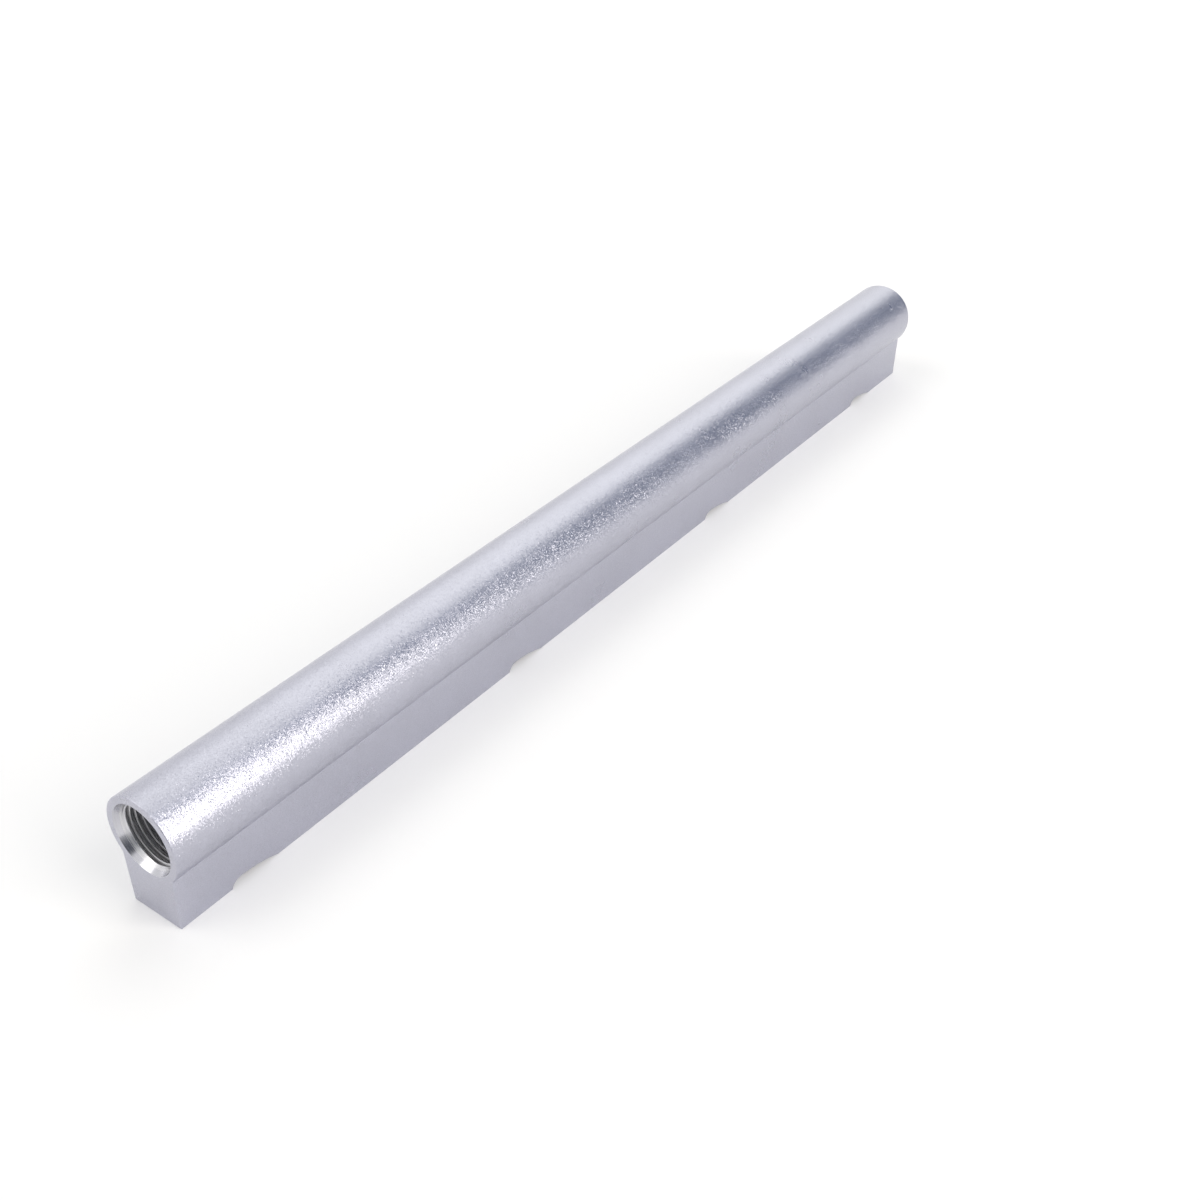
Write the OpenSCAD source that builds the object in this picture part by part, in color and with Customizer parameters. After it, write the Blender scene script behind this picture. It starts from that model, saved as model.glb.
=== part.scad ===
// Fuel rail for one bank of an engine: a machined bar with a keyhole section, a round fuel
// gallery on top of a narrower skirt that takes the injectors from below.
// X runs along the rail, Z is up and the rail stands on the foot of its skirt.
// The origin is at the middle of the foot.

/* [Bar] */
// Length of the bar along X
rail_length = 391.2; // [385:0.1:400]
// Outside diameter of the gallery tube
tube_diameter = 24.8; // [23.6:0.1:26]
// Height of the gallery axis above the foot
tube_axis_height = 24.2; // [23.6:0.1:25]
// Width of the skirt at the foot
skirt_foot_width = 17.3; // [16.8:0.1:18]
// Width of the skirt where it runs into the tube
skirt_top_width = 18.0; // [17:0.1:19]
// Size of the small bevel round the ends of the tube
tube_end_bevel = 0.3; // [0.1:0.05:0.6]
// Size of the small bevel along the two long edges of the foot
foot_edge_bevel = 0.3; // [0.1:0.05:0.6]

/* [Gallery] */
// Diameter of the fuel gallery between the ports
gallery_diameter = 16; // [14:0.5:16.5]

/* [Ports] */
// Diameter of the tapping hole in both ports
port_core_diameter = 17.46; // [17.2:0.02:17.8]
// Diameter of the sealing seat where it meets the end face
seat_mouth_diameter = 20.5; // [20:0.1:21]
// Diameter at the inner end of the sealing seat
seat_throat_diameter = 18.9; // [18.6:0.1:19.4]
// Depth of the sealing seat
seat_depth = 1.5; // [1:0.1:2]
// Depth from the end face to the start of the tapping hole
lead_in_end = 2.3; // [2.1:0.1:2.6]
// Depth from the end face to the bottom of the tapping hole
port_depth = 18; // [16:0.5:22]

/* [Injector pockets] */
// Number of injectors
injector_count = 4; // [1:1:4]
// Distance between neighbouring injectors
injector_pitch = 111.76; // [111.4:0.02:112]
// Distance from the left end face to the first injector
first_injector_from_end = 24.45; // [23.5:0.05:26]
// Diameter of the wall that the injector's O-ring seals on
pocket_diameter = 14; // [13.6:0.1:14.4]
// Depth of the pocket above the foot
pocket_depth = 13; // [12:0.5:13.5]
// Depth of the lead-in cone at the pocket's mouth
pocket_lead_in_depth = 2.4; // [2.3:0.05:2.8]
// Half angle of the lead-in cone
pocket_lead_in_angle = 20; // [12:1:20]
// Half angle of the drill point at the pocket's end
drill_point_half_angle = 59; // [57:1:62]
// Diameter of the hole from the pocket into the gallery
feed_diameter = 8; // [6:0.5:9]

/* [Scallops in front of the injectors] */
// Height of the scallop in the skirt's lower edge
scallop_height = 2.3; // [1.8:0.1:2.3]
// Distance of the scallop's highest point from the injector axis, towards the left end
scallop_crest_offset = 4.8; // [4:0.1:5.4]
// Radius of the short side of the scallop
scallop_near_radius = 3.2; // [2.6:0.1:4]
// Radius of the long side of the scallop
scallop_far_radius = 36.8; // [34:0.2:39]
// Depth of the scallop into the skirt
scallop_depth = 3.2; // [2.8:0.1:3.6]

/* [Reliefs on the other side] */
// Distance from the rail's middle to the first relief, towards the left end
first_relief_from_middle = 105.3; // [104:0.1:107]
// Number of reliefs at the injector pitch
relief_row_count = 3; // [1:1:3]
// Distance from the rail's middle to the single relief near the right end
end_relief_from_middle = 177.4; // [176.5:0.1:178.5]
// Radius of the cutter that makes a relief
relief_radius = 15; // [14:0.2:16]
// Depth of the relief at the foot
relief_foot_depth = 2.9; // [2:0.1:3]
// Height of the relief above the foot
relief_height = 11; // [9:0.5:12]
// Lean of the relief away from the skirt's middle plane
relief_lean = 13; // [11:0.5:15]

/* [Hidden] */

silver = "#C6C8CE";
// Facets of a full circle
facets = 96;
// Spare length of a cutter past the face that it cuts
over = 1;

left_end = -rail_length / 2;
tube_radius = tube_diameter / 2;
half_foot = skirt_foot_width / 2;
half_top = skirt_top_width / 2;
// Height at which the skirt's side meets the tube
crease_height = tube_axis_height - sqrt(pow(tube_radius, 2) - pow(half_top, 2));
// The skirt runs on inside the tube, and ends there
skirt_root_height = tube_axis_height - tube_radius / 3;
gallery_radius = gallery_diameter / 2;
port_core_radius = port_core_diameter / 2;
pocket_radius = pocket_diameter / 2;
feed_radius = feed_diameter / 2;
pocket_mouth_radius = pocket_radius + pocket_lead_in_depth * tan(pocket_lead_in_angle);
pocket_point_height = (pocket_radius - feed_radius) / tan(drill_point_half_angle);
port_point_length = (port_core_radius - gallery_radius) / tan(drill_point_half_angle);
// Slope of the skirt's side, and its half width at a height
skirt_slope = (half_top - half_foot) / crease_height;
function skirt_half_width(height) = half_foot + skirt_slope * height;

function injector_x(index) = left_end + first_injector_from_end + index * injector_pitch;
function relief_x(index) = -first_relief_from_middle + index * injector_pitch;

// Turns a half section round the gallery axis; its Y becomes the distance from the left end face
module along_gallery() {
    translate([left_end, 0, tube_axis_height]) rotate([0, 90, 0])
        rotate_extrude($fn = facets) children();
}

// The gallery tube, with a bevel round each end
module tube() {
    along_gallery() polygon([
        [0, 0],
        [tube_radius - tube_end_bevel, 0],
        [tube_radius, tube_end_bevel],
        [tube_radius, rail_length - tube_end_bevel],
        [tube_radius - tube_end_bevel, rail_length],
        [0, rail_length]
    ]);
}

// Skirt under the tube: it widens a little upwards and has a small bevel along its foot edges
module skirt() {
    right_side = [
        [half_foot - foot_edge_bevel, 0],
        [skirt_half_width(foot_edge_bevel), foot_edge_bevel],
        [half_top, crease_height],
        [half_top, skirt_root_height]
    ];
    left_side = [for (index = [len(right_side) - 1 : -1 : 0])
        [-right_side[index][0], right_side[index][1]]];
    translate([left_end, 0, 0]) rotate([90, 0, 90])
        linear_extrude(height = rail_length) polygon(concat(right_side, left_side));
}

// Threaded port at the left end: sealing seat, lead-in and tapping hole with its drill point
module port() {
    seat_slope = (seat_mouth_diameter - seat_throat_diameter) / 2 / seat_depth;
    along_gallery() polygon([
        [0, -over],
        [seat_mouth_diameter / 2 + seat_slope * over, -over],
        [seat_throat_diameter / 2, seat_depth],
        [port_core_radius, lead_in_end],
        [port_core_radius, port_depth],
        [gallery_radius, port_depth + port_point_length],
        [gallery_radius, port_depth + port_point_length + over],
        [0, port_depth + port_point_length + over]
    ]);
}

module gallery() {
    translate([left_end + port_depth, 0, tube_axis_height]) rotate([0, 90, 0])
        cylinder(r = gallery_radius, h = rail_length - 2 * port_depth, $fn = facets);
}

// Injector pocket: lead-in cone, sealing wall and drill point, with the feed hole above it
module injector_pocket() {
    rotate_extrude($fn = facets) polygon([
        [0, -over],
        [pocket_mouth_radius + over * tan(pocket_lead_in_angle), -over],
        [pocket_radius, pocket_lead_in_depth],
        [pocket_radius, pocket_depth],
        [feed_radius, pocket_depth + pocket_point_height],
        [feed_radius, tube_axis_height],
        [0, tube_axis_height]
    ]);
}

// One side of a scallop: a disc that touches the crest line from below, cut off at the crest
module scallop_side(radius, side) {
    intersection() {
        translate([0, 0, scallop_height - radius]) rotate([-90, 0, 0])
            cylinder(r = radius, h = over + scallop_depth, $fn = facets);
        translate([side < 0 ? -radius : 0, 0, -over])
            cube([radius, over + scallop_depth, 2 * over + scallop_height]);
    }
}

// Scallop in the skirt's lower edge: a tight curve on one side of its crest, a slow one on the other
module scallop() {
    translate([-scallop_crest_offset, -half_foot - over, 0]) {
        scallop_side(scallop_near_radius, -1);
        scallop_side(scallop_far_radius, 1);
    }
}

// Leaning cylindrical relief in the other side of the skirt, with a flat top
module relief() {
    top_depth = relief_foot_depth - relief_height * (tan(relief_lean) - skirt_slope);
    translate([0, skirt_half_width(relief_height) - top_depth, relief_height])
        rotate([-relief_lean, 0, 0]) translate([0, relief_radius, -2 * relief_height])
            cylinder(r = relief_radius, h = 2 * relief_height, $fn = facets);
}

module rail_body() {
    color(silver) difference() {
        union() {
            tube();
            skirt();
        }
        port();
        mirror([1, 0, 0]) port();
        gallery();
        for (index = [0 : injector_count - 1])
            translate([injector_x(index), 0, 0]) {
                injector_pocket();
                scallop();
            }
        for (index = [0 : relief_row_count - 1])
            translate([relief_x(index), 0, 0]) relief();
        translate([end_relief_from_middle, 0, 0]) relief();
    }
}

rail_body();
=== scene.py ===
"""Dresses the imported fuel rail: a machined bar with its ports and finishes, in a plain studio."""

import logging
import math
from dataclasses import dataclass
from enum import Enum
from typing import Any, Sequence

import bmesh
import bpy
from mathutils import Matrix, Vector


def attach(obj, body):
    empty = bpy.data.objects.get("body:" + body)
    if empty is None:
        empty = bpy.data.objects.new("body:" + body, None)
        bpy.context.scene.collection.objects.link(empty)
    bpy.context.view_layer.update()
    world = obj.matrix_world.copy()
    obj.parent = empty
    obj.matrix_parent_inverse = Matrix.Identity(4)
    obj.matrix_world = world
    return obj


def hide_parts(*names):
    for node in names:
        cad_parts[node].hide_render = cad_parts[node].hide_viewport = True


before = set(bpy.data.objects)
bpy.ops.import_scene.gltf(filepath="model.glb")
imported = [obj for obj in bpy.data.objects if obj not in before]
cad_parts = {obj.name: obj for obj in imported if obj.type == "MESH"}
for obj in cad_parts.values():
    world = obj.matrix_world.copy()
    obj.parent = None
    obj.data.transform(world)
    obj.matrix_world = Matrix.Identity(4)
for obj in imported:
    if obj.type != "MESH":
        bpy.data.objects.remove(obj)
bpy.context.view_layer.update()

LOG = logging.getLogger("fuel_rail")
MM = 0.001
CAD_NODE = "rail_body"
Colour = tuple[float, float, float]
WHITE: Colour = (1.0, 1.0, 1.0)
# The part of a noise's range that most of its values fall in
NOISE_BAND = (0.3, 0.7)
# Length under which an edge counts as nothing, in millimetres
TINY = 0.001
# Largest distance between vertices that are made one, in metres
WELD = 1e-7
# How far two places may lie apart and still count as one, in millimetres
TOUCH = 0.01
# How far from a wall a place has to lie to be clear of it, in millimetres
MARGIN = 0.1
# How far a cutter stands out of the face that it cuts, in millimetres
SPARE = 1.0


class Finish(Enum):
    """The finishes on the machined bar, each with its material's name."""

    BLASTED = "blasted_bar"
    TURNED = "turned_seat"
    TAPPED = "tapped_thread"
    BORED = "bored_hole"
    DRILLED = "drilled_gallery"


class Axis(Enum):
    """The axis that a cutting tool turned about."""

    ALONG = "X"
    UPRIGHT = "Z"


class NodeBoard:
    """Adds nodes to one node tree and joins them."""

    # The Mix node's factor and its two colours, and its mixed colour, by their places in the node
    MIX_INPUTS = (0, 6, 7)
    MIX_OUTPUT = 2

    def __init__(self, tree: bpy.types.NodeTree) -> None:
        """Keeps the tree.

        Args:
            tree: the node tree that the nodes go into.
        """
        self.tree = tree

    def add(self, kind: str, **settings: Any) -> bpy.types.Node:
        """Adds one node.

        Args:
            kind: the node's type name.
            **settings: properties to set on the node.

        Returns:
            The new node.
        """
        node = self.tree.nodes.new(kind)
        for name, value in settings.items():
            setattr(node, name, value)
        return node

    def feed(self, socket: bpy.types.NodeSocket, value: Any) -> None:
        """Links value to socket if it is a socket itself, and otherwise sets it there.

        Args:
            socket: an input socket.
            value: an output socket or a plain value.
        """
        if isinstance(value, bpy.types.NodeSocket):
            self.tree.links.new(value, socket)
        else:
            socket.default_value = value

    def math(self, operation: str, *values: Any, clamp: bool = False) -> bpy.types.NodeSocket:
        """Adds a Math node.

        Args:
            operation: the node's operation, such as ADD.
            *values: one to three sockets or numbers.
            clamp: whether the result is kept between 0 and 1.

        Returns:
            The node's output.
        """
        node = self.add("ShaderNodeMath", operation=operation, use_clamp=clamp)
        for socket, value in zip(node.inputs, values):
            self.feed(socket, value)
        return node.outputs[0]

    def vector(self, operation: str, *values: Any) -> bpy.types.NodeSocket:
        """Adds a Vector Math node.

        Args:
            operation: an operation that gives a vector, such as NORMALIZE.
            *values: sockets or vectors.

        Returns:
            The node's vector.
        """
        node = self.add("ShaderNodeVectorMath", operation=operation)
        for socket, value in zip(node.inputs, values):
            self.feed(socket, value)
        return node.outputs["Vector"]

    def scaled(self, vector: Any, factor: Any) -> bpy.types.NodeSocket:
        """Scales a vector.

        Args:
            vector: the vector's socket.
            factor: a socket or number.

        Returns:
            The scaled vector.
        """
        node = self.add("ShaderNodeVectorMath", operation="SCALE")
        self.feed(node.inputs[0], vector)
        self.feed(node.inputs["Scale"], factor)
        return node.outputs["Vector"]

    def ramp(self, value: Any, start: Any, end: Any, low: Any = 0.0,
             high: Any = 1.0) -> bpy.types.NodeSocket:
        """Maps value smoothly from start..end to low..high, and holds it beyond both.

        Args:
            value: a socket or number.
            start: where the ramp begins.
            end: where the ramp ends.
            low: the result at start.
            high: the result at end.

        Returns:
            The mapped value.
        """
        node = self.add("ShaderNodeMapRange", interpolation_type="SMOOTHSTEP", clamp=True)
        for socket, given in zip(node.inputs, (value, start, end, low, high)):
            self.feed(socket, given)
        return node.outputs[0]

    def blend(self, factor: Any, first: Any, second: Any) -> bpy.types.NodeSocket:
        """Mixes two colours.

        Args:
            factor: the share of the second colour.
            first: a socket or an RGBA colour.
            second: a socket or an RGBA colour.

        Returns:
            The mixed colour.
        """
        node = self.add("ShaderNodeMix", data_type="RGBA", clamp_factor=True)
        for place, given in zip(self.MIX_INPUTS, (factor, first, second)):
            self.feed(node.inputs[place], given)
        return node.outputs[self.MIX_OUTPUT]


def new_group(name: str, kind: str, inputs: Sequence[tuple[str, str, Any]],
              outputs: Sequence[tuple[str, str]],
              ) -> tuple[NodeBoard, bpy.types.Node, bpy.types.Node]:
    """Makes a node group with named sockets.

    Args:
        name: the group's name.
        kind: ShaderNodeTree or GeometryNodeTree.
        inputs: name, socket type and default (or None) of each input.
        outputs: name and socket type of each output.

    Returns:
        The group's board, its input node and its output node.
    """
    tree = bpy.data.node_groups.new(name, kind)
    for title, socket_type, default in inputs:
        socket = tree.interface.new_socket(name=title, in_out="INPUT", socket_type=socket_type)
        if default is not None:
            socket.default_value = default
    for title, socket_type in outputs:
        tree.interface.new_socket(name=title, in_out="OUTPUT", socket_type=socket_type)
    board = NodeBoard(tree)
    return board, board.add("NodeGroupInput"), board.add("NodeGroupOutput")


def rgba(colour: Colour) -> tuple[float, float, float, float]:
    """Returns the colour with full opacity."""
    return (*colour, 1.0)


class SurfaceEffects:
    """Shader node groups that more than one finish uses, each built once."""

    def __init__(self) -> None:
        """Builds the groups."""
        self.grain = self._grain()
        self.tool_marks = self._tool_marks()

    @staticmethod
    def _grain() -> bpy.types.NodeTree:
        """Builds the group for a blasted surface: small facets, few of them steep, on slow waves.

        Returns:
            The node group, with the tilted Normal and a Speckle from 0 to 1, one for each facet.
        """
        board, given, result = new_group(
            "blast_grain", "ShaderNodeTree",
            [(title, "NodeSocketFloat", None) for title in
             ("Facets per Metre", "Facet Slope", "Waves per Metre", "Wave Slope")],
            [("Normal", "NodeSocketVector"), ("Speckle", "NodeSocketFloat")])
        place = board.add("ShaderNodeTexCoord").outputs["Object"]
        facets, waves = board.add("ShaderNodeTexVoronoi"), board.add("ShaderNodeTexNoise")
        both_ways = []
        for noise, scale in ((facets, "Facets per Metre"), (waves, "Waves per Metre")):
            board.feed(noise.inputs["Vector"], place)
            board.feed(noise.inputs["Scale"], given.outputs[scale])
            both_ways.append(board.vector("MULTIPLY_ADD", noise.outputs["Color"], (2.0, 2.0, 2.0),
                                          (-1.0, -1.0, -1.0)))
        tilt, sway = both_ways
        square = board.vector("MULTIPLY", tilt, tilt)
        steep = board.vector("MULTIPLY", tilt, board.vector("MULTIPLY", square, square))
        normal = board.vector("ADD", board.add("ShaderNodeNewGeometry").outputs["Normal"],
                              board.scaled(steep, given.outputs["Facet Slope"]))
        normal = board.vector("ADD", normal, board.scaled(sway, given.outputs["Wave Slope"]))
        board.feed(result.inputs["Normal"], board.vector("NORMALIZE", normal))
        split = board.add("ShaderNodeSeparateXYZ")
        board.feed(split.inputs[0], facets.outputs["Color"])
        board.feed(result.inputs["Speckle"], split.outputs["X"])
        return board.tree

    @staticmethod
    def _tool_marks() -> bpy.types.NodeTree:
        """Builds the group for the fine rings that a turning or boring tool leaves.

        Returns:
            The node group, with a Height output from 0 to 1.
        """
        board, given, result = new_group(
            "tool_marks", "ShaderNodeTree",
            [("Distance", "NodeSocketFloat", None), ("Marks per Metre", "NodeSocketFloat", None)],
            [("Height", "NodeSocketFloat")])
        noise = board.add("ShaderNodeTexNoise", noise_dimensions="1D")
        board.feed(noise.inputs["W"], given.outputs["Distance"])
        board.feed(noise.inputs["Scale"], given.outputs["Marks per Metre"])
        noise.inputs["Detail"].default_value = 2.0
        board.feed(result.inputs["Height"], noise.outputs["Fac"])
        return board.tree


@dataclass(frozen=True)
class BlastedFinish:
    """Clear anodised aluminium, blasted to a satin grain.

    Attributes:
        colour: the metal's colour.
        roughness: how widely each facet scatters light.
        roughness_spread: share by which the roughness varies over the bar.
        facets_per_metre: frequency of the blasting grain.
        facet_slope: tilt of the grain.
        waves_per_metre: frequency of the slow unevenness.
        wave_slope: tilt of the slow unevenness.
        clouds_per_metre: frequency of the slow change in colour and roughness.
        cloud_depth: how far the colour varies over the bar.
        speckle_depth: how far it varies from facet to facet.
    """

    colour: Colour = (0.498, 0.500, 0.573)
    roughness: float = 0.29
    roughness_spread: float = 0.06
    facets_per_metre: float = 5600.0
    facet_slope: float = 0.36
    waves_per_metre: float = 900.0
    wave_slope: float = 0.02
    clouds_per_metre: float = 60.0
    cloud_depth: float = 0.02
    speckle_depth: float = 0.06

    def build(self, effects: SurfaceEffects) -> bpy.types.Material:
        """Builds the material.

        Args:
            effects: the shared shader groups.

        Returns:
            The material.
        """
        material = bpy.data.materials.new(Finish.BLASTED.value)
        material.use_nodes = True
        board = NodeBoard(material.node_tree)
        shader = material.node_tree.nodes["Principled BSDF"]
        shader.inputs["Metallic"].default_value = 1.0
        place = board.add("ShaderNodeTexCoord").outputs["Object"]
        clouds = board.add("ShaderNodeTexNoise")
        board.feed(clouds.inputs["Vector"], place)
        clouds.inputs["Scale"].default_value = self.clouds_per_metre
        clouds.inputs["Detail"].default_value = 3.0
        smooth, rough = (self.roughness * (1.0 + side * self.roughness_spread) for side in (-1, 1))
        board.feed(shader.inputs["Roughness"],
                   board.ramp(clouds.outputs["Fac"], *NOISE_BAND, smooth, rough))
        grain = board.add("ShaderNodeGroup", node_tree=effects.grain)
        for title, value in (("Facets per Metre", self.facets_per_metre),
                             ("Facet Slope", self.facet_slope),
                             ("Waves per Metre", self.waves_per_metre),
                             ("Wave Slope", self.wave_slope)):
            grain.inputs[title].default_value = value
        cloud = board.blend(board.ramp(clouds.outputs["Fac"], *NOISE_BAND),
                            self._toned(-self.cloud_depth), self._toned(self.cloud_depth))
        speck = board.blend(grain.outputs["Speckle"], rgba((1.0 - self.speckle_depth,) * 3),
                            rgba((1.0 + self.speckle_depth,) * 3))
        board.feed(shader.inputs["Base Color"], board.vector("MULTIPLY", cloud, speck))
        board.feed(shader.inputs["Normal"], grain.outputs["Normal"])
        return material

    def _toned(self, change: float) -> tuple[float, float, float, float]:
        """Returns the metal's colour, lighter or darker by a share."""
        return rgba(tuple(c * (1.0 + change) for c in self.colour))


@dataclass(frozen=True)
class CutFinish:
    """Bright aluminium as a turning, tapping or boring tool left it.

    Attributes:
        finish: which finish it is.
        axis: the axis that the tool turned about.
        colour: the metal's colour; the thread's is lighter, as painted light for the light that
            reaches into the bore.
        roughness: how widely it scatters light.
        ring_roughness: its roughness in the rings' valleys and on their ridges, as shares.
        marks_per_metre: frequency of the tool's rings.
        mark_depth: depth of the rings, in metres.
        mark_shade: how much darker they are.
    """

    finish: Finish
    axis: Axis
    colour: Colour = (0.58, 0.58, 0.62)
    roughness: float = 0.18
    ring_roughness: tuple[float, float] = (1.3, 0.8)
    marks_per_metre: float = 5200.0
    mark_depth: float = 1.2e-6
    mark_shade: float = 0.05

    def build(self, effects: SurfaceEffects) -> bpy.types.Material:
        """Builds the material.

        Args:
            effects: the shared shader groups.

        Returns:
            The material.
        """
        material = bpy.data.materials.new(self.finish.value)
        material.use_nodes = True
        board = NodeBoard(material.node_tree)
        shader = material.node_tree.nodes["Principled BSDF"]
        shader.inputs["Metallic"].default_value = 1.0
        split = board.add("ShaderNodeSeparateXYZ")
        board.feed(split.inputs[0], board.add("ShaderNodeTexCoord").outputs["Object"])
        marks = board.add("ShaderNodeGroup", node_tree=effects.tool_marks)
        board.feed(marks.inputs["Distance"], split.outputs[self.axis.value])
        marks.inputs["Marks per Metre"].default_value = self.marks_per_metre
        height = marks.outputs["Height"]
        shade = tuple(c * (1.0 - self.mark_shade) for c in self.colour)
        board.feed(shader.inputs["Base Color"],
                   board.blend(board.ramp(height, *NOISE_BAND), rgba(shade), rgba(self.colour)))
        valley, ridge = (self.roughness * share for share in self.ring_roughness)
        board.feed(shader.inputs["Roughness"], board.ramp(height, *NOISE_BAND, valley, ridge))
        bump = board.add("ShaderNodeBump")
        bump.inputs["Distance"].default_value = self.mark_depth
        board.feed(bump.inputs["Height"], height)
        board.feed(shader.inputs["Normal"], bump.outputs["Normal"])
        return material


class MeshShop:
    """Turns bmesh data and modifiers into plain mesh objects at the origin."""

    @staticmethod
    def to_object(bm: bmesh.types.BMesh, name: str,
                  materials: Sequence[bpy.types.Material]) -> bpy.types.Object:
        """Makes an object from bmesh data, with its faces pointing outwards.

        Args:
            bm: the mesh data, which is freed.
            name: the object's name.
            materials: its material slots.

        Returns:
            The object, linked to the scene.
        """
        bmesh.ops.remove_doubles(bm, verts=bm.verts, dist=WELD)
        bmesh.ops.recalc_face_normals(bm, faces=bm.faces)
        mesh = bpy.data.meshes.new(name)
        bm.to_mesh(mesh)
        bm.free()
        for material in materials:
            mesh.materials.append(material)
        made = bpy.data.objects.new(name, mesh)
        bpy.context.scene.collection.objects.link(made)
        return made

    @staticmethod
    def finished(source: bpy.types.Object, name: str) -> bpy.types.Object:
        """Replaces an object by a plain mesh of what its modifiers make.

        Args:
            source: the object with modifiers, which is removed.
            name: the new object's name.

        Returns:
            The new object, linked to the scene.
        """
        graph = bpy.context.evaluated_depsgraph_get()
        mesh = bpy.data.meshes.new_from_object(source.evaluated_get(graph), depsgraph=graph)
        MeshShop.discard(source)
        mesh.name = name
        made = bpy.data.objects.new(name, mesh)
        bpy.context.scene.collection.objects.link(made)
        return made

    @staticmethod
    def discard(*objects: bpy.types.Object) -> None:
        """Removes objects and their meshes.

        Args:
            *objects: the objects to remove.
        """
        for one in objects:
            mesh = one.data
            bpy.data.objects.remove(one)
            if mesh is not None and mesh.users == 0:
                bpy.data.meshes.remove(mesh)

    @staticmethod
    def grown(tree: bpy.types.NodeTree, name: str, inputs: dict[str, Any]) -> bpy.types.Object:
        """Runs a Geometry Nodes tree and keeps its result as a plain mesh.

        Args:
            tree: the tree.
            name: the new object's name.
            inputs: value of each named input.

        Returns:
            The new object.
        """
        holder = bpy.data.objects.new(name + "_holder", bpy.data.meshes.new(name + "_holder"))
        bpy.context.scene.collection.objects.link(holder)
        modifier = holder.modifiers.new(name, "NODES")
        modifier.node_group = tree
        for item in tree.interface.items_tree:
            if item.item_type == "SOCKET" and item.in_out == "INPUT" and item.name in inputs:
                modifier[item.identifier] = inputs[item.name]
        return MeshShop.finished(holder, name)


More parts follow.
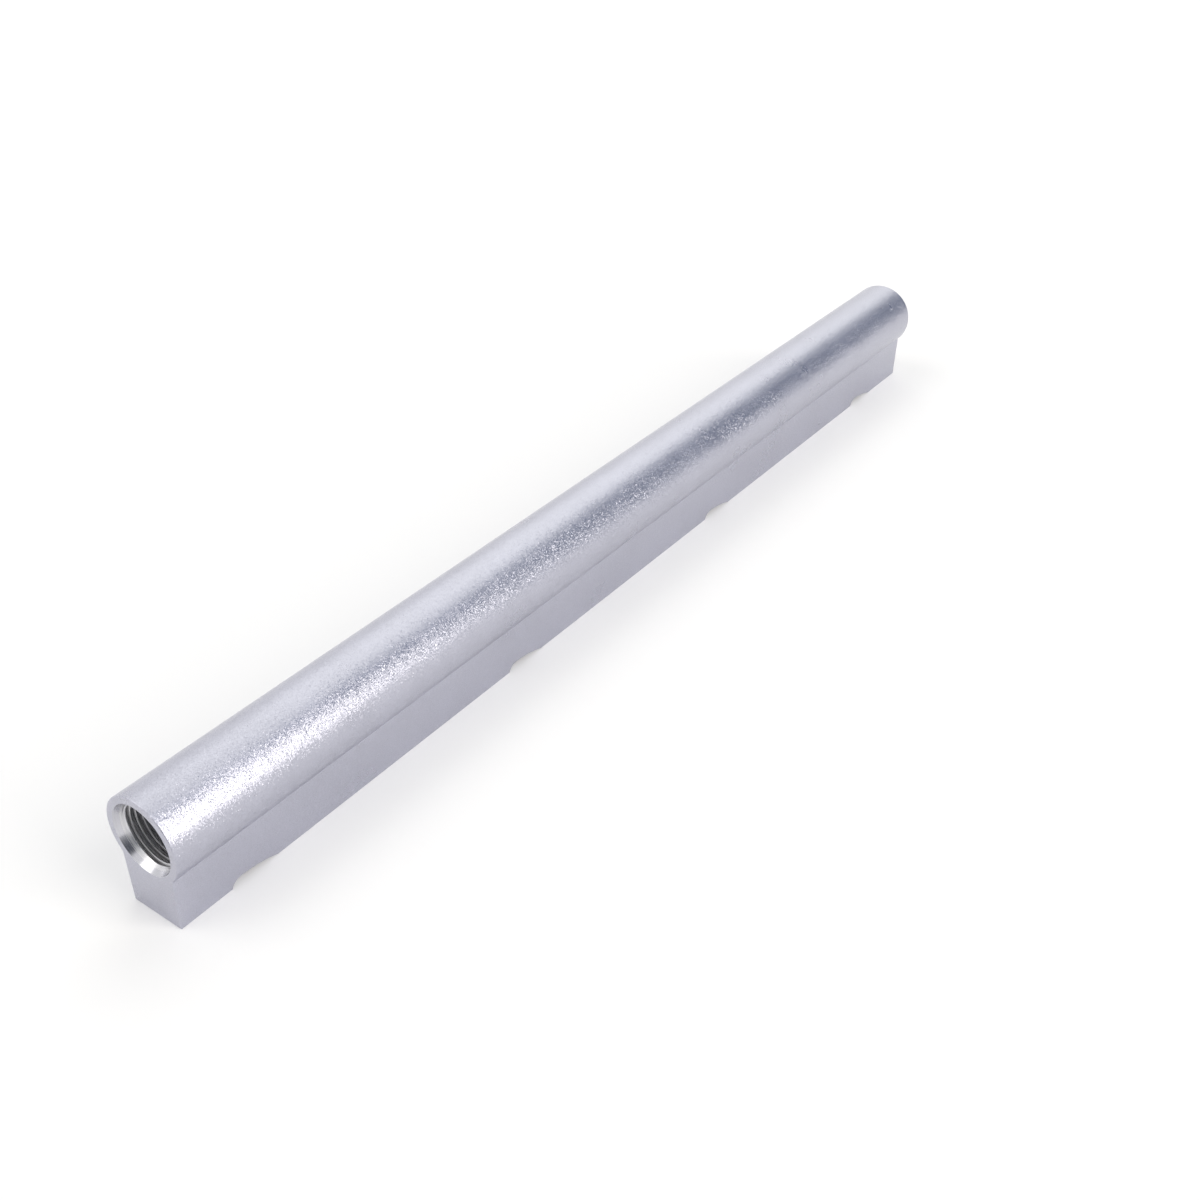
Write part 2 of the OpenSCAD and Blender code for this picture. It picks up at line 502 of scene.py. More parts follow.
@dataclass(frozen=True)
class ThreadedPort:
    """The inside wall of an end port: sealing seat, lead-in, helical thread and drill cone.

    All lengths are in millimetres, and distances are from the end face.

    Attributes:
        mouth_radius: the seat's radius in the end face.
        throat_radius: the seat's radius at its inner end.
        throat_distance: the seat's depth.
        lead_in_end: where the lead-in reaches the thread's crests.
        crest_radius: radius of the thread's crests.
        root_radius: radius of the thread's roots.
        pitch: distance from turn to turn.
        flank_start: where a flank leaves the crest, in pitches from the crest's middle.
        flank_end: where it reaches the root.
        thread_end: where the thread has run out.
        run_out: length over which it runs out.
        core_end: where the drill cone begins.
        gallery_radius: radius of the gallery.
        drill_half_angle: half angle of the drill cone, in degrees.
        steps_round: vertices round the wall.
        steps_per_turn: rows of vertices in one pitch.
    """

    mouth_radius: float = 10.25
    throat_radius: float = 9.45
    throat_distance: float = 1.5
    lead_in_end: float = 2.75
    crest_radius: float = 8.73
    root_radius: float = 9.5
    pitch: float = 1.5875
    flank_start: float = 0.125
    flank_end: float = 0.4375
    thread_end: float = 17.2
    run_out: float = 1.6
    core_end: float = 18.0
    gallery_radius: float = 8.0
    drill_half_angle: float = 59.0
    steps_round: int = 128
    steps_per_turn: int = 16

    def thread_tree(self) -> bpy.types.NodeTree:
        """Builds the tree that bends a grid into the threaded wall.

        Returns:
            The Geometry Nodes tree.
        """
        number, whole = "NodeSocketFloat", "NodeSocketInt"
        board, given, result = new_group(
            "threaded_wall", "GeometryNodeTree",
            [("Start", number, None), ("End", number, None), ("Throat Radius", number, None),
             ("Crest Radius", number, None), ("Root Radius", number, None), ("Pitch", number, None),
             ("Flank Start", number, None), ("Flank End", number, None), ("Lead In", number, None),
             ("Run Out", number, None), ("Turns", whole, None), ("Steps Round", whole, None),
             ("Steps Per Turn", whole, None), ("Left End", number, None),
             ("Axis Height", number, None), ("Material", "NodeSocketMaterial", None)],
            [("Geometry", "NodeSocketGeometry")])
        value = given.outputs
        grid = board.add("GeometryNodeMeshGrid")
        rows = board.math("MULTIPLY", value["Turns"], value["Steps Per Turn"])
        board.feed(grid.inputs["Size X"], 1.0)
        board.feed(grid.inputs["Size Y"], 1.0)
        board.feed(grid.inputs["Vertices X"], board.math("ADD", value["Steps Round"], 1.0))
        board.feed(grid.inputs["Vertices Y"], board.math("ADD", rows, 1.0))
        split = board.add("ShaderNodeSeparateXYZ")
        board.feed(split.inputs[0], board.add("GeometryNodeInputPosition").outputs[0])
        round_share = board.math("ADD", split.outputs["X"], 0.5)
        turn_share = board.math("ADD", split.outputs["Y"], 0.5)
        turns_done = board.math("MULTIPLY", turn_share, value["Turns"])
        steps = board.math("SUBTRACT", board.math("ADD", turns_done, round_share), 1.0)
        reach = board.math("ADD", value["Start"], board.math("MULTIPLY", steps, value["Pitch"]))
        along = board.math("MINIMUM", board.math("MAXIMUM", reach, value["Start"]), value["End"])
        into = board.math("SUBTRACT", along, value["Start"])
        left = board.math("SUBTRACT", value["End"], along)
        wave = board.math("PINGPONG", turns_done, 0.5)
        groove = board.add("ShaderNodeMapRange", clamp=True)
        flank = (wave, value["Flank Start"], value["Flank End"], 0.0, 1.0)
        for socket, share in zip(groove.inputs, flank):
            board.feed(socket, share)
        fade = board.math("MULTIPLY", board.ramp(into, 0.0, value["Lead In"]),
                          board.ramp(left, 0.0, value["Run Out"]))
        depth = board.math("SUBTRACT", value["Root Radius"], value["Crest Radius"])
        cut = board.math("MULTIPLY", board.math("MULTIPLY", groove.outputs[0], fade), depth)
        thread = board.math("ADD", value["Crest Radius"], cut)
        cone_share = board.math("DIVIDE", into, value["Lead In"], clamp=True)
        drop = board.math("SUBTRACT", value["Throat Radius"], value["Crest Radius"])
        dropped = board.math("MULTIPLY", cone_share, drop)
        cone = board.math("SUBTRACT", value["Throat Radius"], dropped)
        radius = board.math("MAXIMUM", thread, cone)
        angle = board.math("MULTIPLY", round_share, math.tau)
        place = board.add("ShaderNodeCombineXYZ")
        board.feed(place.inputs["X"], board.math("ADD", value["Left End"], along))
        aside = board.math("MULTIPLY", radius, board.math("SINE", angle))
        above = board.math("MULTIPLY", radius, board.math("COSINE", angle))
        board.feed(place.inputs["Y"], board.math("MULTIPLY", aside, -1.0))
        board.feed(place.inputs["Z"], board.math("ADD", value["Axis Height"], above))
        bent = board.add("GeometryNodeSetPosition")
        board.feed(bent.inputs["Geometry"], grid.outputs["Mesh"])
        board.feed(bent.inputs["Position"], place.outputs[0])
        merged = board.add("GeometryNodeMergeByDistance")
        board.feed(merged.inputs["Geometry"], bent.outputs["Geometry"])
        board.feed(merged.inputs["Distance"], 2 * TINY * MM)
        real = board.add("GeometryNodeRealizeInstances")
        board.feed(real.inputs["Geometry"], merged.outputs["Geometry"])
        painted = board.add("GeometryNodeSetMaterial")
        board.feed(painted.inputs["Geometry"], real.outputs["Geometry"])
        board.feed(painted.inputs["Material"], value["Material"])
        board.feed(result.inputs["Geometry"], painted.outputs["Geometry"])
        return board.tree

    def wall(self, left_end: float, axis_height: float,
             material: bpy.types.Material) -> bpy.types.Object:
        """Makes the threaded part of the wall of the left port.

        Args:
            left_end: x of the left end face, in millimetres.
            axis_height: height of the gallery axis, in millimetres.
            material: the wall's finish.

        Returns:
            An open tube from the seat's throat to the thread's end.
        """
        turns = math.ceil((self.thread_end - self.throat_distance) / self.pitch) + 1
        return MeshShop.grown(self.thread_tree(), "threaded_wall", {
            "Start": self.throat_distance * MM, "End": self.thread_end * MM,
            "Throat Radius": self.throat_radius * MM, "Crest Radius": self.crest_radius * MM,
            "Root Radius": self.root_radius * MM, "Pitch": self.pitch * MM,
            "Flank Start": self.flank_start, "Flank End": self.flank_end,
            "Lead In": (self.lead_in_end - self.throat_distance) * MM, "Run Out": self.run_out * MM,
            "Turns": turns, "Steps Round": self.steps_round, "Steps Per Turn": self.steps_per_turn,
            "Left End": left_end * MM, "Axis Height": axis_height * MM, "Material": material})


@dataclass(frozen=True)
class InjectorPocket:
    """The stepped hole that takes an injector from below. Lengths are in millimetres.

    Attributes:
        radius: radius of the wall that the injector seals on.
        depth: the wall's end above the foot.
        lead_in_depth: depth of the cone at the mouth.
        lead_in_angle: half angle of that cone, in degrees.
        feed_radius: radius of the hole into the gallery.
        drill_half_angle: half angle of the drill point, in degrees.
        steps: vertices round the hole.
    """

    radius: float = 7.0
    depth: float = 13.0
    lead_in_depth: float = 2.4
    lead_in_angle: float = 20.0
    feed_radius: float = 4.0
    drill_half_angle: float = 59.0
    steps: int = 96

    def cutter(self, top: float, material: bpy.types.Material) -> bpy.types.Object:
        """Makes the pocket as a closed solid to cut with, standing on the origin.

        Args:
            top: how far up the feed hole runs.
            material: the wall's finish.

        Returns:
            The cutter.
        """
        spread = math.tan(math.radians(self.lead_in_angle))
        point = (self.radius - self.feed_radius) / math.tan(math.radians(self.drill_half_angle))
        mouth_radius = self.radius + spread * (self.lead_in_depth + SPARE)
        profile = [(mouth_radius, -SPARE), (self.radius, self.lead_in_depth),
                   (self.radius, self.depth), (self.feed_radius, self.depth + point),
                   (self.feed_radius, top)]
        bm = bmesh.new()
        angles = [math.tau * i / self.steps for i in range(self.steps)]
        rings = [[bm.verts.new((r * math.cos(a) * MM, r * math.sin(a) * MM, z * MM))
                  for a in angles] for r, z in profile]
        bm.faces.new(rings[0])
        bm.faces.new(rings[-1])
        for low, high in zip(rings, rings[1:]):
            for i in range(self.steps):
                j = (i + 1) % self.steps
                bm.faces.new((low[i], low[j], high[j], high[i]))
        return MeshShop.to_object(bm, "pocket_cutter", [material])


@dataclass(frozen=True)
class Scallop:
    """The shallow hollow in the skirt's lower edge by an injector. Lengths are in millimetres.

    Attributes:
        height: height of its crest.
        crest_offset: distance of the crest from the injector axis, towards the left end.
        near_radius: radius on the short side of the crest.
        far_radius: radius on the long side.
        depth: how far it goes into the skirt.
        steps: vertices on each side of the crest.
    """

    height: float = 2.3
    crest_offset: float = 4.8
    near_radius: float = 3.2
    far_radius: float = 36.8
    depth: float = 3.2
    steps: int = 24

    def cutter(self, skirt_half_width: float, material: bpy.types.Material) -> bpy.types.Object:
        """Makes the scallop as a closed solid to cut with, placed about an injector at x 0.

        Args:
            skirt_half_width: half width of the skirt at the foot.
            material: the cut's finish.

        Returns:
            The cutter.
        """
        line: list[tuple[float, float]] = []
        for radius, side in ((self.near_radius, -1.0), (self.far_radius, 1.0)):
            reach = math.sqrt(radius ** 2 - (radius - min(self.height + SPARE, radius)) ** 2)
            arc = []
            for i in range(self.steps + 1):
                x = reach * math.sin(0.5 * math.pi * i / self.steps)
                drop = radius - math.sqrt(max(radius ** 2 - x ** 2, 0.0))
                arc.append((side * x, self.height - drop))
            line += arc[::-1] if side < 0 else arc[1:]
        # The long side's arc ends at the spare depth, so its corner lies a touch below that
        line = [(line[0][0], -SPARE)] + line + [(line[-1][0], -SPARE - TOUCH)]
        bm = bmesh.new()
        front, back = ([bm.verts.new(((x - self.crest_offset) * MM, y * MM, z * MM))
                        for x, z in line]
                       for y in (-skirt_half_width - SPARE, -skirt_half_width + self.depth))
        bm.faces.new(front)
        bm.faces.new(back)
        for i in range(len(line)):
            j = (i + 1) % len(line)
            bm.faces.new((front[i], front[j], back[j], back[i]))
        return MeshShop.to_object(bm, "scallop_cutter", [material])


@dataclass(frozen=True)
class Relief:
    """The leaning round relief on the skirt's other side. Lengths are in millimetres.

    Attributes:
        radius: radius of the tool.
        foot_depth: depth at the foot.
        height: height of its flat top.
        lean: lean of the tool, in degrees.
        steps: vertices round the tool.
    """

    radius: float = 15.0
    foot_depth: float = 2.9
    height: float = 11.0
    lean: float = 13.0
    steps: int = 128

    def cutter(self, half_width_at_top: float, slope: float,
               material: bpy.types.Material) -> bpy.types.Object:
        """Makes the relief as a closed solid to cut with, placed about x 0.

        Args:
            half_width_at_top: half width of the skirt at the relief's top.
            slope: how fast that half width grows with height.
            material: the cut's finish.

        Returns:
            The cutter.
        """
        top_depth = self.foot_depth - self.height * (math.tan(math.radians(self.lean)) - slope)
        bm = bmesh.new()
        disc = bmesh.ops.create_circle(bm, cap_ends=True, radius=self.radius * MM,
                                       segments=self.steps)
        face = disc["verts"][0].link_faces[0]
        moved = bmesh.ops.extrude_face_region(bm, geom=[face])["geom"]
        down = [v for v in moved if isinstance(v, bmesh.types.BMVert)]
        bmesh.ops.translate(bm, verts=down, vec=(0.0, 0.0, -2.0 * self.height * MM))
        bmesh.ops.translate(bm, verts=bm.verts, vec=(0.0, self.radius * MM, 0.0))
        leaning = Matrix.Rotation(math.radians(-self.lean), 3, "X")
        bmesh.ops.rotate(bm, verts=bm.verts, matrix=leaning)
        bmesh.ops.translate(bm, verts=bm.verts,
                            vec=(0.0, (half_width_at_top - top_depth) * MM, self.height * MM))
        return MeshShop.to_object(bm, "relief_cutter", [material])


class RowOfCuts:
    """Repeats a cutter along the bar with Geometry Nodes."""

    def __init__(self) -> None:
        """Builds the tree."""
        board, given, result = new_group(
            "row_of_cuts", "GeometryNodeTree",
            [("Cutter", "NodeSocketObject", None), ("Count", "NodeSocketInt", 4),
             ("First", "NodeSocketFloat", 0.0), ("Pitch", "NodeSocketFloat", 0.1),
             ("Material", "NodeSocketMaterial", None)],
            [("Geometry", "NodeSocketGeometry")])
        line = board.add("GeometryNodeMeshLine")
        first, step = board.add("ShaderNodeCombineXYZ"), board.add("ShaderNodeCombineXYZ")
        board.feed(first.inputs["X"], given.outputs["First"])
        board.feed(step.inputs["X"], given.outputs["Pitch"])
        board.feed(line.inputs["Count"], given.outputs["Count"])
        board.feed(line.inputs["Start Location"], first.outputs[0])
        board.feed(line.inputs["Offset"], step.outputs[0])
        source = board.add("GeometryNodeObjectInfo")
        board.feed(source.inputs["Object"], given.outputs["Cutter"])
        placed = board.add("GeometryNodeInstanceOnPoints")
        board.feed(placed.inputs["Points"], line.outputs["Mesh"])
        board.feed(placed.inputs["Instance"], source.outputs["Geometry"])
        real = board.add("GeometryNodeRealizeInstances")
        board.feed(real.inputs["Geometry"], placed.outputs["Instances"])
        painted = board.add("GeometryNodeSetMaterial")
        board.feed(painted.inputs["Geometry"], real.outputs["Geometry"])
        board.feed(painted.inputs["Material"], given.outputs["Material"])
        board.feed(result.inputs["Geometry"], painted.outputs["Geometry"])
        self.tree = board.tree

    def make(self, cutter: bpy.types.Object, count: int, first: float,
             pitch: float) -> bpy.types.Object:
        """Repeats a cutter and removes the single one.

        Args:
            cutter: the cutter, placed about x 0.
            count: how many there are.
            first: x of the first, in millimetres.
            pitch: distance between two, in millimetres.

        Returns:
            All the cutters as one plain mesh.
        """
        row = MeshShop.grown(self.tree, cutter.name + "_row", {
            "Cutter": cutter, "Count": count, "First": first * MM, "Pitch": pitch * MM,
            "Material": cutter.data.materials[0]})
        MeshShop.discard(cutter)
        return row


@dataclass(frozen=True)
class RailBar:
    """The machined bar: keyhole section, ports, gallery, pockets, scallops and reliefs.

    Lengths are in millimetres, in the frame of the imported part.

    Attributes:
        length: length along x.
        tube_radius: outside radius of the gallery tube.
        axis_height: height of the gallery axis above the foot.
        foot_half_width: half width of the skirt at the foot.
        top_half_width: half width of the skirt where it meets the tube.
        arc_steps: facets round the tube.
        tube_edge: rounding of the tube's end edges.
        foot_edge: rounding of the foot's long edges.
        fine_edge: rounding of all other outer edges.
        edge_segments: faces across a rounding.
        broken_angle: smallest angle of an edge that is rounded, in degrees.
        sharp_angle: smallest angle of an edge that stays sharp to the eye, in degrees.
        injector_count: number of injectors.
        injector_pitch: distance between two injectors.
        first_injector: distance of the first injector from the left end face.
        relief_count: number of reliefs at the injector pitch.
        first_relief: x of the first relief.
        end_relief: x of the single relief near the right end.
        port: the left port, which the right one mirrors.
        pocket: an injector pocket.
        scallop: the hollow in front of a pocket.
        relief: a relief on the other side.
    """

    length: float = 391.2
    tube_radius: float = 12.395
    axis_height: float = 24.2
    foot_half_width: float = 8.65
    top_half_width: float = 9.0
    arc_steps: int = 121
    tube_edge: float = 0.3
    foot_edge: float = 0.3
    fine_edge: float = 0.12
    edge_segments: int = 3
    broken_angle: float = 22.0
    sharp_angle: float = 35.0
    injector_count: int = 4
    injector_pitch: float = 111.76
    first_injector: float = 24.45
    relief_count: int = 3
    first_relief: float = -105.3
    end_relief: float = 177.4
    port: ThreadedPort = ThreadedPort()
    pocket: InjectorPocket = InjectorPocket()
    scallop: Scallop = Scallop()
    relief: Relief = Relief()

    @property
    def left_end(self) -> float:
        """Returns x of the left end face."""
        return -self.length / 2

    @property
    def crease_height(self) -> float:
        """Returns the height at which the skirt meets the tube."""
        return self.axis_height - math.sqrt(self.tube_radius ** 2 - self.top_half_width ** 2)

    @property
    def skirt_slope(self) -> float:
        """Returns how fast the skirt's half width grows with height."""
        return (self.top_half_width - self.foot_half_width) / self.crease_height

    def section(self) -> list[tuple[float, float]]:
        """Lists the keyhole section's corners as (y, z), round from the left foot corner.

        Returns:
            The corners, in millimetres.
        """
        sweep = math.pi - math.asin(self.top_half_width / self.tube_radius)
        arc = []
        for i in range(self.arc_steps + 1):
            angle = -sweep + 2.0 * sweep * i / self.arc_steps
            height = self.axis_height + self.tube_radius * math.cos(angle)
            arc.append((self.tube_radius * math.sin(angle), height))
        return [(-self.foot_half_width, 0.0)] + arc + [(self.foot_half_width, 0.0)]

    def blank(self, material: bpy.types.Material) -> bpy.types.Object:
        """Makes the bar before anything is cut.

        Args:
            material: its finish.

        Returns:
            A closed prism.
        """
        bm = bmesh.new()
        ends = [[bm.verts.new((x * MM, y * MM, z * MM)) for y, z in self.section()]
                for x in (self.left_end, -self.left_end)]
        bm.faces.new(ends[0])
        bm.faces.new(ends[1])
        for i in range(len(ends[0])):
            j = (i + 1) % len(ends[0])
            bm.faces.new((ends[0][i], ends[0][j], ends[1][j], ends[1][i]))
        return MeshShop.to_object(bm, "bar_blank", [material])

    def fuel_way(self, seat: bpy.types.Material, thread: bpy.types.Material,
                 gallery: bpy.types.Material) -> bpy.types.Object:
        """Makes the space inside as a closed solid to cut with: both ports and the gallery.

        Args:
            seat: finish of the sealing seats.
            thread: finish of the threads.
            gallery: finish of the gallery.

        Returns:
            The cutter.
        """
        port = self.port
        wall = port.wall(self.left_end, self.axis_height, thread)
        bm = bmesh.new()
        bm.from_mesh(wall.data)
        MeshShop.discard(wall)
        seat_slot, thread_slot, gallery_slot = range(3)
        for face in bm.faces:
            face.material_index = thread_slot
        throat = (self.left_end + port.throat_distance) * MM
        rim = [e for e in bm.edges if e.is_boundary]
        mouth = [e for e in rim if all(abs(v.co.x - throat) < TINY * MM for v in e.verts)]
        inner = [e for e in rim if e not in set(mouth)]
        seat_slope = (port.mouth_radius - port.throat_radius) / port.throat_distance
        outer_radius = port.mouth_radius + seat_slope * SPARE
        narrowing = port.crest_radius - port.gallery_radius
        cone_end = port.core_end + narrowing / math.tan(math.radians(port.drill_half_angle))
        mouth, sides = self._drawn_out(bm, mouth, self.left_end - SPARE, outer_radius)
        for face in sides + [bm.faces.new(self._loop(mouth))]:
            face.material_index = seat_slot
        inner, _ = self._drawn_out(bm, inner, self.left_end + port.core_end, port.crest_radius)
        inner, _ = self._drawn_out(bm, inner, self.left_end + cone_end, port.gallery_radius)
        copy = bmesh.ops.duplicate(bm, geom=bm.verts[:] + bm.edges[:] + bm.faces[:])["geom"]
        turned_round = [v for v in copy if isinstance(v, bmesh.types.BMVert)]
        bmesh.ops.rotate(bm, verts=turned_round, matrix=Matrix.Rotation(math.pi, 3, "Z"))
        _, sides = self._drawn_out(bm, inner, -self.left_end - cone_end, port.gallery_radius)
        for face in sides:
            face.material_index = gallery_slot
        return MeshShop.to_object(bm, "fuel_way_cutter", [seat, thread, gallery])

    def _drawn_out(self, bm: bmesh.types.BMesh, edges: list[bmesh.types.BMEdge], x: float,
                   radius: float) -> tuple[list[bmesh.types.BMEdge], list[bmesh.types.BMFace]]:
        """Extrudes a ring of edges along the gallery axis.

        Args:
            bm: the mesh data.
            edges: the ring's edges.
            x: where the new ring lies, in millimetres.
            radius: the new ring's radius, in millimetres.

        Returns:
            The new ring's edges, and the faces that lead to it.
        """
        made = bmesh.ops.extrude_edge_only(bm, edges=edges)["geom"]
        for vert in (v for v in made if isinstance(v, bmesh.types.BMVert)):
            out = Vector((0.0, vert.co.y, vert.co.z - self.axis_height * MM)).normalized()
            vert.co = Vector((x * MM, 0.0, self.axis_height * MM)) + out * radius * MM
        ring = [e for e in made if isinstance(e, bmesh.types.BMEdge)]
        return ring, [f for f in made if isinstance(f, bmesh.types.BMFace)]

    @staticmethod
    def _loop(edges: list[bmesh.types.BMEdge]) -> list[bmesh.types.BMVert]:
        """Puts a ring's vertices in order.

        Args:
            edges: the ring's edges.

        Returns:
            The vertices, one after the other.
        """
        members = set(edges)
        order = [edges[0].verts[0], edges[0].verts[1]]
        members.discard(edges[0])
        while True:
            following = next((e for e in order[-1].link_edges if e in members), None)
            if following is None:
                return order
            members.discard(following)
            vert = following.other_vert(order[-1])
            if vert is order[0]:
                return order
            order.append(vert)

    def _mark_edges(self, bm: bmesh.types.BMesh) -> int:
        """Gives each outer edge that a deburring tool breaks its share of rounding.

        Args:
            bm: the cut bar.

        Returns:
            How many edges were marked.
        """
        layer = bm.edges.layers.float.new("bevel_weight_edge")
        axis = self.axis_height * MM
        near = TOUCH * MM
        port_reach = (self.port.mouth_radius - MARGIN) * MM
        pocket_reach = (self.pocket.radius + 2 * MARGIN) * MM
        marked = 0
        for edge in bm.edges:
            if len(edge.link_faces) != 2 or not edge.is_convex:
                continue
            if edge.calc_face_angle() < math.radians(self.broken_angle):
                continue
            middle = (edge.verts[0].co + edge.verts[1].co) / 2
            from_axis = math.hypot(middle.y, middle.z - axis)
            at_end = abs(abs(middle.x) + self.left_end * MM) < near
            at_foot = abs(middle.z) < near
            in_pocket = abs(middle.y) < pocket_reach and not at_end and not at_foot
            if from_axis < port_reach or in_pocket:
                continue
            on_tube = from_axis > (self.tube_radius - MARGIN) * MM
            on_foot_side = abs(abs(middle.y) - self.foot_half_width * MM) < near
            if at_end and on_tube and middle.z > self.crease_height * MM:
                edge[layer] = 1.0
            elif at_foot and on_foot_side:
                edge[layer] = self.foot_edge / self.tube_edge
            else:
                edge[layer] = self.fine_edge / self.tube_edge
            marked += 1
        return marked

    def build(self, materials: dict[Finish, bpy.types.Material]) -> bpy.types.Object:
        """Cuts the bar and rounds its edges.

        Args:
            materials: the material of each finish.

        Returns:
            The finished bar, one closed mesh.
        """
        blasted, turned, tapped, bored, drilled = (materials[f] for f in Finish)
        bar = self.blank(blasted)
        row = RowOfCuts()
        first = self.left_end + self.first_injector
        slope = self.skirt_slope
        at_top = self.foot_half_width + slope * self.relief.height
        cutters = [
            self.fuel_way(turned, tapped, drilled),
            row.make(self.pocket.cutter(self.axis_height, bored), self.injector_count, first,
                     self.injector_pitch),
            row.make(self.scallop.cutter(self.foot_half_width, blasted), self.injector_count, first,
                     self.injector_pitch),
            row.make(self.relief.cutter(at_top, slope, blasted), self.relief_count,
                     self.first_relief, self.injector_pitch),
            row.make(self.relief.cutter(at_top, slope, blasted), 1,
                     self.end_relief, self.injector_pitch),
        ]
        for cutter in cutters:
            cut = bar.modifiers.new(cutter.name, "BOOLEAN")
            cut.operation, cut.solver, cut.material_mode = "DIFFERENCE", "EXACT", "TRANSFER"
            cut.object = cutter
        bar = MeshShop.finished(bar, "cut_bar")
        MeshShop.discard(*cutters)
        bm = bmesh.new()
        bm.from_mesh(bar.data)
        bmesh.ops.dissolve_degenerate(bm, edges=bm.edges, dist=TINY * MM)
        LOG.info("edges marked for rounding: %d", self._mark_edges(bm))
        bm.to_mesh(bar.data)
        bm.free()
        rounding = bar.modifiers.new("edges", "BEVEL")
        rounding.limit_method, rounding.miter_outer = "WEIGHT", "MITER_ARC"
        rounding.width, rounding.segments = self.tube_edge * MM, self.edge_segments
        rounding.use_clamp_overlap = False
        bar.data.shade_smooth()
        bar.data.set_sharp_from_angle(angle=math.radians(self.sharp_angle))
        normals = bar.modifiers.new("normals", "WEIGHTED_NORMAL")
        normals.mode, normals.keep_sharp, normals.weight = "FACE_AREA", True, 100
        return MeshShop.finished(bar, "machined_bar")


@dataclass(frozen=True)
class SkyPatch:
    """A soft-edged patch of the studio's surroundings. Angles are in degrees.

    Attributes:
        azimuth: its middle, from +X towards +Y.
        elevation: its middle above the horizon.
        half_width: half its width.
        half_height: half its height.
        softness: width of its soft edge.
        colour: its light.
    """

    azimuth: float
    elevation: float
    half_width: float
    half_height: float
    softness: float
    colour: Colour


@dataclass(frozen=True)
class Viewpoint:
    """The camera, at the photograph's viewing angle. Angles are in degrees.

    Attributes:
        place: the camera's position, in metres.
        azimuth: viewing direction, from +X towards +Y.
        dip: how far it looks down.
        roll: its turn about the viewing direction.
        lens: focal length, in millimetres.
        sensor: width of the image, in millimetres.
        shift: sideways and upward shift, in image widths.
        clip: nearest and farthest distance that it shows, in metres.
    """

    place: tuple[float, float, float] = (-0.3287, -0.2240, 0.2501)
    azimuth: float = 39.0
    dip: float = 33.4
    roll: float = -1.95
    lens: float = 41.85
    sensor: float = 36.0
    shift: tuple[float, float] = (0.0696, -0.00125)
    clip: tuple[float, float] = (0.01, 50.0)

    def build(self) -> bpy.types.Object:
        """Makes the camera and gives it to the scene.

        Returns:
            The camera.
        """
        a, e, r = (math.radians(v) for v in (self.azimuth, self.dip, self.roll))
        ahead = Vector((math.cos(a) * math.cos(e), math.sin(a) * math.cos(e), -math.sin(e)))
        right = Vector((math.sin(a), -math.cos(a), 0.0))
        up = right.cross(ahead)
        right, up = right * math.cos(r) + up * math.sin(r), up * math.cos(r) - right * math.sin(r)
        data = bpy.data.cameras.new("camera")
        data.lens, data.sensor_width = self.lens, self.sensor
        data.shift_x, data.shift_y = self.shift
        data.clip_start, data.clip_end = self.clip
        camera = bpy.data.objects.new("camera", data)
        bpy.context.scene.collection.objects.link(camera)
        turn = Matrix((right, up, -ahead)).transposed().to_4x4()
        camera.matrix_world = Matrix.Translation(self.place) @ turn
        bpy.context.scene.camera = camera
        return camera


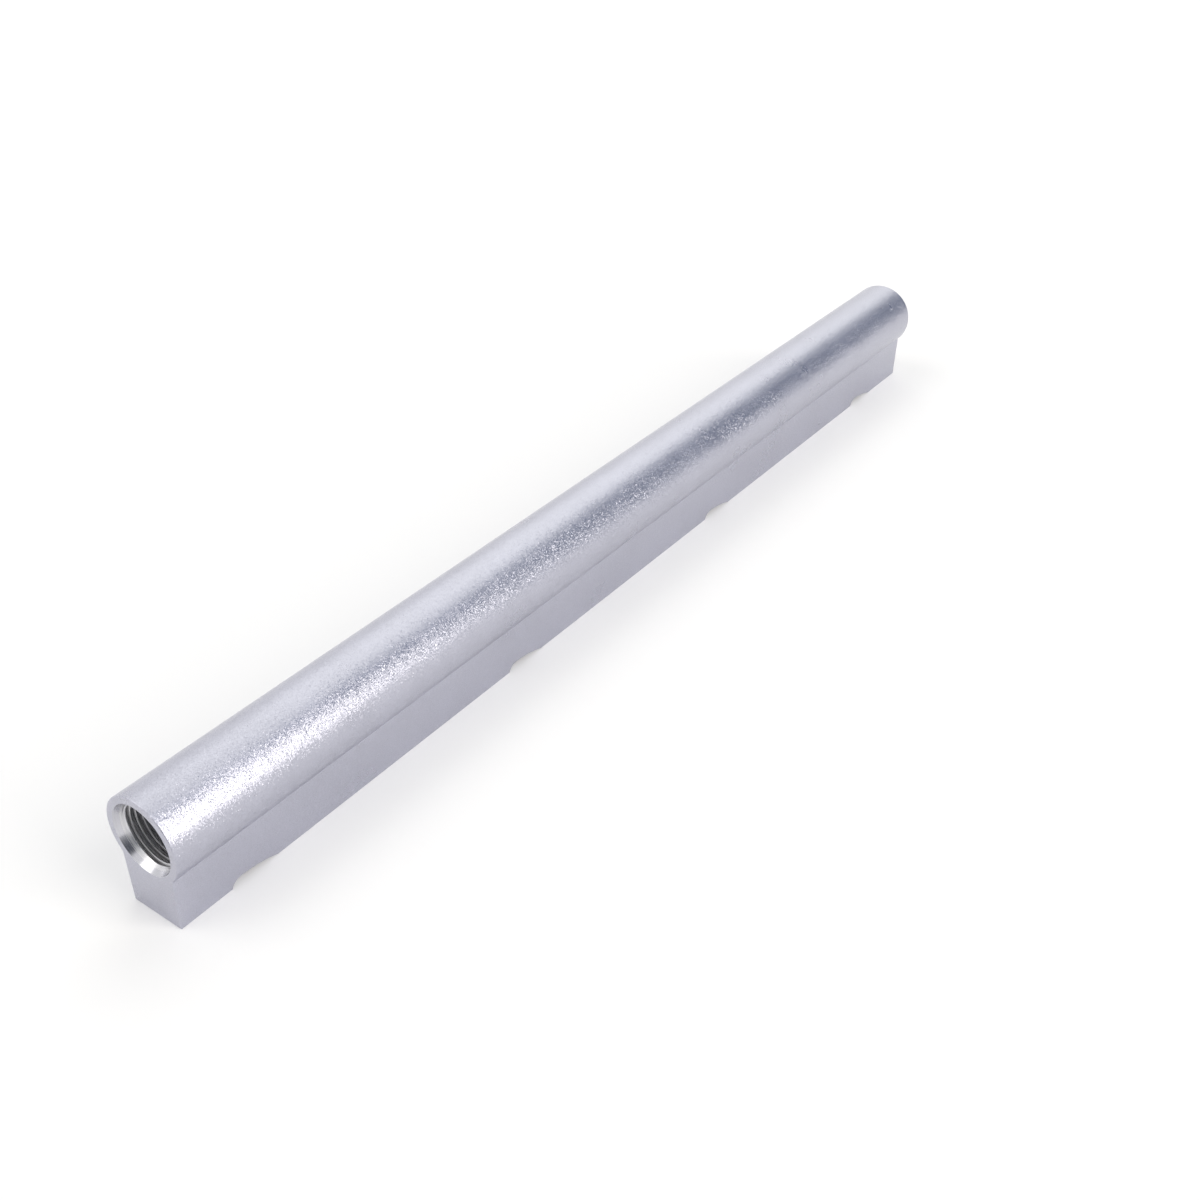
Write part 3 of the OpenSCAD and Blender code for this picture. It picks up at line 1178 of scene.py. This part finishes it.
@dataclass(frozen=True)
class Studio:
    """A pale floor under soft light from all round, with a few brighter panels and darker gaps.

    Attributes:
        floor_half: half the floor's side, in metres.
        floor_steps: faces along the floor's side.
        floor_drop: how far it lies under the foot, in millimetres.
        floor_colour: the floor's colour.
        floor_lift: brightness added to the floor as background, so that it is white.
        surround: light that the surroundings throw on everything.
        patches: where they are lighter or darker.
    """

    floor_half: float = 4.0
    floor_steps: int = 8
    floor_drop: float = 0.02
    floor_colour: Colour = (0.81, 0.81, 0.82)
    floor_lift: float = 0.19
    surround: Colour = (0.6, 0.6, 0.6)
    patches: tuple[SkyPatch, ...] = (
        SkyPatch(14.0, 42.0, 45.0, 21.0, 30.0, (1.59, 1.60, 1.55)),
        SkyPatch(-30.0, 22.0, 25.0, 25.0, 27.0, (0.18, 0.22, 0.31)),
        SkyPatch(-75.0, 33.0, 19.5, 27.0, 4.0, (3.8, 3.67, 3.42)),
        SkyPatch(-45.0, 53.0, 9.0, 14.0, 4.0, (0.26, 0.32, 0.48)),
        SkyPatch(-135.0, 24.0, 15.0, 25.0, 12.0, (0.10, 0.11, 0.13)),
        SkyPatch(135.0, 52.0, 28.0, 13.0, 8.0, (2.7, 2.65, 2.55)),
    )

    def build(self) -> None:
        """Makes the floor and the surroundings."""
        self._floor()
        self._surroundings()
        bpy.context.scene.view_settings.view_transform = "Standard"

    def _floor(self) -> None:
        """Makes the floor, which keeps the bar's shadow and looks white."""
        bm = bmesh.new()
        bmesh.ops.create_grid(bm, x_segments=self.floor_steps, y_segments=self.floor_steps,
                              size=self.floor_half)
        bmesh.ops.translate(bm, verts=bm.verts, vec=(0.0, 0.0, -self.floor_drop * MM))
        material = bpy.data.materials.new("floor")
        material.use_nodes = True
        board = NodeBoard(material.node_tree)
        shader = material.node_tree.nodes["Principled BSDF"]
        shader.inputs["Base Color"].default_value = rgba(self.floor_colour)
        shader.inputs["Roughness"].default_value = 1.0
        shader.inputs["Specular IOR Level"].default_value = 0.0
        shader.inputs["Emission Color"].default_value = rgba(WHITE)
        board.feed(shader.inputs["Emission Strength"],
                   board.math("MULTIPLY", self._background_rays(board), self.floor_lift))
        floor = MeshShop.to_object(bm, "floor", [material])

    @staticmethod
    def _background_rays(board: NodeBoard) -> bpy.types.NodeSocket:
        """Adds the test for rays that see the background: straight, in a gloss or through glass.

        Args:
            board: the node tree that asks.

        Returns:
            1 for such a ray, and otherwise 0.
        """
        rays = board.add("ShaderNodeLightPath").outputs
        in_gloss = board.math("MAXIMUM", rays["Is Glossy Ray"], rays["Is Transmission Ray"])
        return board.math("MAXIMUM", rays["Is Camera Ray"], in_gloss)

    def _surroundings(self) -> None:
        """Makes the world: white behind, with soft panels and gaps that only the object sees."""
        world = bpy.data.worlds.new("studio")
        bpy.context.scene.world = world
        world.use_nodes = True
        world.node_tree.nodes.clear()
        board = NodeBoard(world.node_tree)
        split = board.add("ShaderNodeSeparateXYZ")
        board.feed(split.inputs[0], board.add("ShaderNodeTexCoord").outputs["Generated"])
        to_degrees = 180.0 / math.pi
        turned = board.math("ARCTAN2", split.outputs["Y"], split.outputs["X"])
        azimuth = board.math("MULTIPLY", turned, to_degrees)
        elevation = board.math("MULTIPLY", board.math("ARCSINE", split.outputs["Z"]), to_degrees)
        light = board.blend(self._background_rays(board), rgba(self.surround), rgba(WHITE))
        for patch in self.patches:
            aside = board.math("SUBTRACT", azimuth, patch.azimuth)
            above = board.math("SUBTRACT", elevation, patch.elevation)
            off = (board.math("ABSOLUTE", board.math("WRAP", aside, 180.0, -180.0)),
                   board.math("ABSOLUTE", above))
            soft = patch.softness / 2
            masks = [board.ramp(distance, half - soft, half + soft, 1.0, 0.0)
                     for distance, half in zip(off, (patch.half_width, patch.half_height))]
            light = board.blend(board.math("MULTIPLY", *masks), light, rgba(patch.colour))
        rays = board.add("ShaderNodeLightPath")
        light = board.blend(rays.outputs["Is Camera Ray"], light, rgba(WHITE))
        shine = board.add("ShaderNodeBackground")
        board.feed(shine.inputs["Color"], light)
        out = board.add("ShaderNodeOutputWorld")
        board.feed(out.inputs["Surface"], shine.outputs[0])


def main() -> None:
    """Builds the bar, the studio and the camera, in that order."""
    logging.basicConfig(level=logging.INFO, format="%(name)s: %(message)s")
    effects = SurfaceEffects()
    materials = {
        Finish.BLASTED: BlastedFinish().build(effects),
        Finish.TURNED: CutFinish(Finish.TURNED, Axis.ALONG).build(effects),
        # The thread's colour is lighter than the other cut faces': painted light, standing in for
        # the light that reaches into the bore.
        Finish.TAPPED: CutFinish(Finish.TAPPED, Axis.ALONG, (0.66, 0.66, 0.68), 0.3).build(effects),
        Finish.BORED: CutFinish(Finish.BORED, Axis.UPRIGHT, roughness=0.26).build(effects),
        Finish.DRILLED: CutFinish(Finish.DRILLED, Axis.ALONG, roughness=0.3).build(effects),
    }
    bar = RailBar().build(materials)
    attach(bar, "root")
    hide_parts(CAD_NODE)
    LOG.info("%s: %d faces", bar.name, len(bar.data.polygons))
    Studio().build()
    LOG.info("studio: floor and surroundings")
    LOG.info("%s: set", Viewpoint().build().name)


if __name__ == "__main__":
    main()
